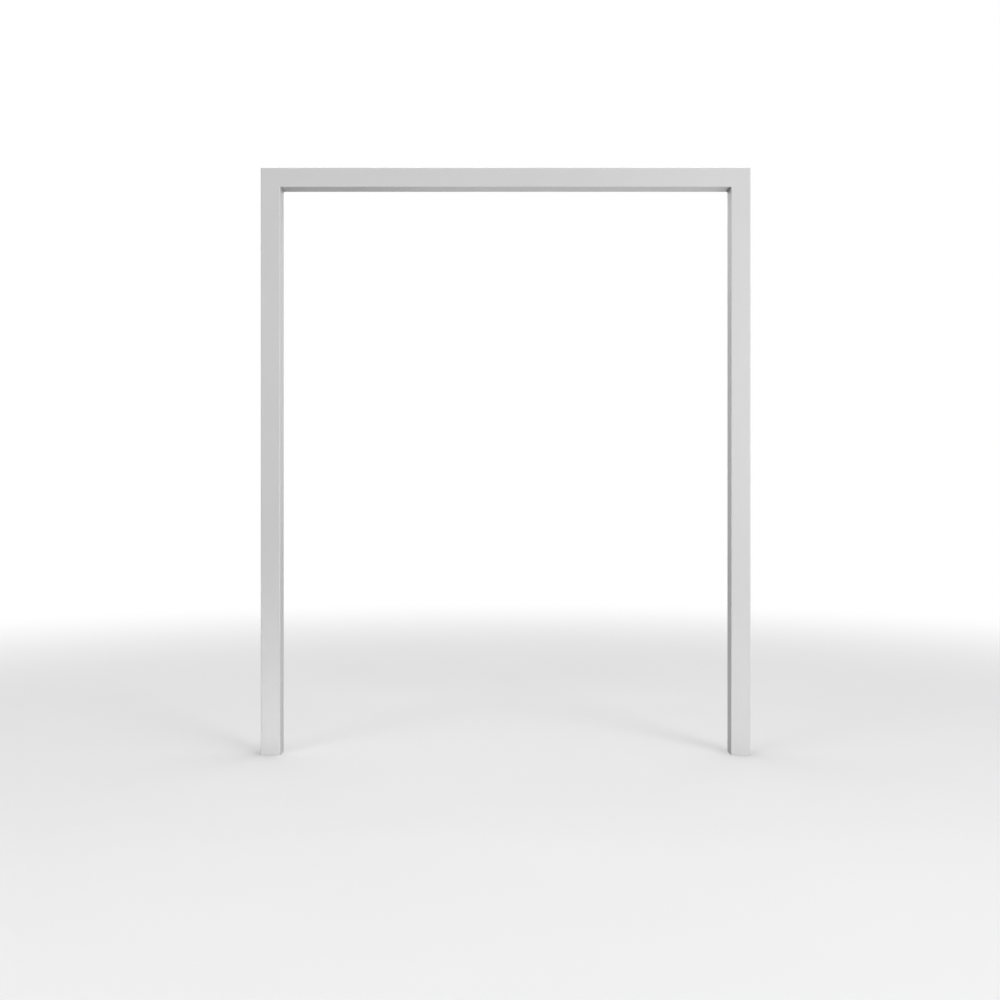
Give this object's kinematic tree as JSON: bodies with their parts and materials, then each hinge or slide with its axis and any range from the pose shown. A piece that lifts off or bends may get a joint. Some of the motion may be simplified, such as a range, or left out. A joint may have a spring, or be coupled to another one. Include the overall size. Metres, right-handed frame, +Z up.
{
  "type": "hoop bike rack",
  "caption": "Square steel hoop with mitred corners and long plain legs that are cast into the ground, for leaning and locking bicycles.",
  "frame": {"origin": "midway between the two legs, on the hoop's centre plane, at the finished ground level that the hoop is set to", "axes": "+Z up along the legs, +X across the hoop from the left leg to the right leg, +Y through the hoop, away from the side that the picture shows"},
  "size_m": [1, 0.04, 1.2],
  "materials": {
    "grey_coat": "satin light grey powder coat over galvanised steel"
  },
  "bodies": {
    "root": {"left_leg": "grey_coat", "right_leg": "grey_coat", "top_rail": "grey_coat", "left_corner_weld": "grey_coat", "right_corner_weld": "grey_coat"}
  },
  "joints": []
}
